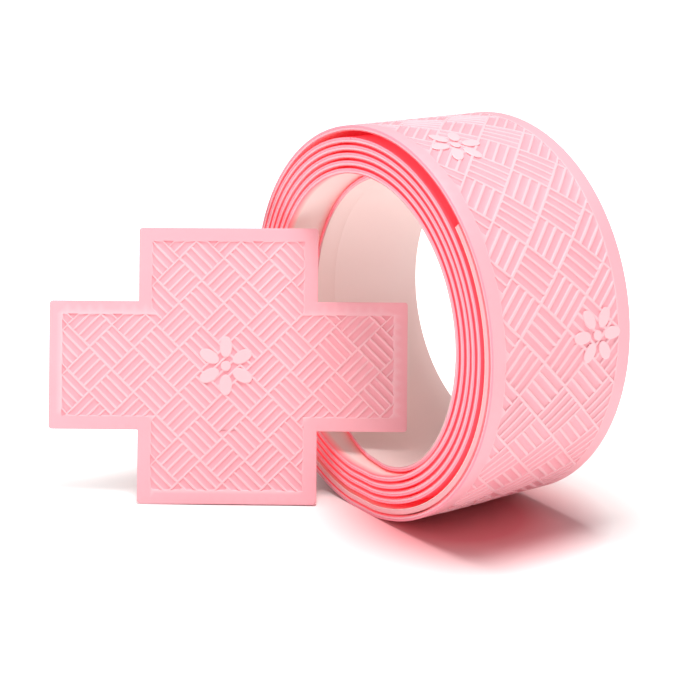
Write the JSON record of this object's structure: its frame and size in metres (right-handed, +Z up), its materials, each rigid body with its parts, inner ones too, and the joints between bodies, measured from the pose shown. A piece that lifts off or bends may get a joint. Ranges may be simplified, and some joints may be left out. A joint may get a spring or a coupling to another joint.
{
  "type": "grip tape roll",
  "caption": "Wound roll of embossed, foam-backed grip tape standing on its edge, with a cross-shaped end-cap patch leaning in its bore.",
  "frame": {"origin": "centre of the small flat that the roll rests on, midway across the tape's width", "axes": "+Z up; +Y along the roll's axis, from the rim that the patch leans on to the other rim; +X to the right when looking along +Y"},
  "size_m": [0.0783, 0.0728, 0.0679],
  "materials": {
    "embossed_skin": "embossed satin polyurethane",
    "foam_backing": "matt closed-cell foam with a die-cut edge",
    "adhesive_film": "tacky clear film",
    "release_liner": "smooth silicone-coated paper",
    "closing_strip": "satin"
  },
  "bodies": {
    "roll": {"tape_skin": "embossed_skin", "tape_foam": "foam_backing", "tape_adhesive": "adhesive_film", "liner_narrow": "release_liner", "liner_wide": "release_liner"},
    "tail": {"tail_skin": "embossed_skin", "tail_foam": "foam_backing", "tail_adhesive": "adhesive_film"},
    "tail_liner": {"tail_liner_narrow": "release_liner", "tail_liner_wide": "release_liner"},
    "closing_strip": {"closing_strip": "closing_strip", "closing_strip_liner": "release_liner"},
    "patch_centre": {"patch_centre_skin": "embossed_skin", "patch_centre_foam": "foam_backing", "patch_centre_adhesive": "adhesive_film", "patch_centre_liner": "release_liner"},
    "patch_left": {"patch_left_skin": "embossed_skin", "patch_left_foam": "foam_backing", "patch_left_adhesive": "adhesive_film", "patch_left_liner": "release_liner"},
    "patch_right": {"patch_right_skin": "embossed_skin", "patch_right_foam": "foam_backing", "patch_right_adhesive": "adhesive_film", "patch_right_liner": "release_liner"},
    "patch_bottom": {"patch_bottom_skin": "embossed_skin", "patch_bottom_foam": "foam_backing", "patch_bottom_adhesive": "adhesive_film", "patch_bottom_liner": "release_liner"},
    "patch_top": {"patch_top_skin": "embossed_skin", "patch_top_foam": "foam_backing", "patch_top_adhesive": "adhesive_film", "patch_top_liner": "release_liner"}
  },
  "joints": [
    {"name": "tail_lift", "type": "hinge", "parent": "roll", "child": "tail", "pos_m": [-0.02775, 0, 0.0536], "axis": [0, 1, 0], "range_deg": [0, 75]},
    {"name": "liner_peel", "type": "hinge", "parent": "roll", "child": "tail_liner", "pos_m": [-0.02775, 0, 0.0536], "axis": [0, 1, 0], "range_deg": [0, 38]},
    {"name": "strip_pull", "type": "slide", "parent": "roll", "child": "closing_strip", "axis": [0, 1, 0], "range_m": [0, 0.032]},
    {"name": "patch_pull", "type": "slide", "parent": "roll", "child": "patch_centre", "axis": [0, -0.995, 0.0995], "range_m": [0, 0.06]},
    {"name": "patch_left_fold", "type": "hinge", "parent": "patch_centre", "child": "patch_left", "pos_m": [-0.03085, -0.04135, 0.02353], "axis": [0.2347, -0.1687, -0.9573], "range_deg": [0, 90]},
    {"name": "patch_right_fold", "type": "hinge", "parent": "patch_centre", "child": "patch_right", "pos_m": [-0.01217, -0.01537, 0.02353], "axis": [-0.2347, 0.1687, 0.9573], "range_deg": [0, 90]},
    {"name": "patch_bottom_fold", "type": "hinge", "parent": "patch_centre", "child": "patch_bottom", "pos_m": [-0.01881, -0.0303, 0.01252], "axis": [0.5835, 0.8121, 0], "range_deg": [0, 90]},
    {"name": "patch_top_fold", "type": "hinge", "parent": "patch_centre", "child": "patch_top", "pos_m": [-0.02421, -0.02642, 0.03454], "axis": [-0.5835, -0.8121, 0], "range_deg": [0, 90]}
  ],
  "couplings": [
    {"joint": "liner_peel", "follows": "tail_lift", "ratio": 0.5},
    {"joint": "patch_left_fold", "follows": "patch_pull", "rad_per_m": 26},
    {"joint": "patch_right_fold", "follows": "patch_pull", "rad_per_m": 26},
    {"joint": "patch_bottom_fold", "follows": "patch_pull", "rad_per_m": 26},
    {"joint": "patch_top_fold", "follows": "patch_pull", "rad_per_m": 26}
  ]
}
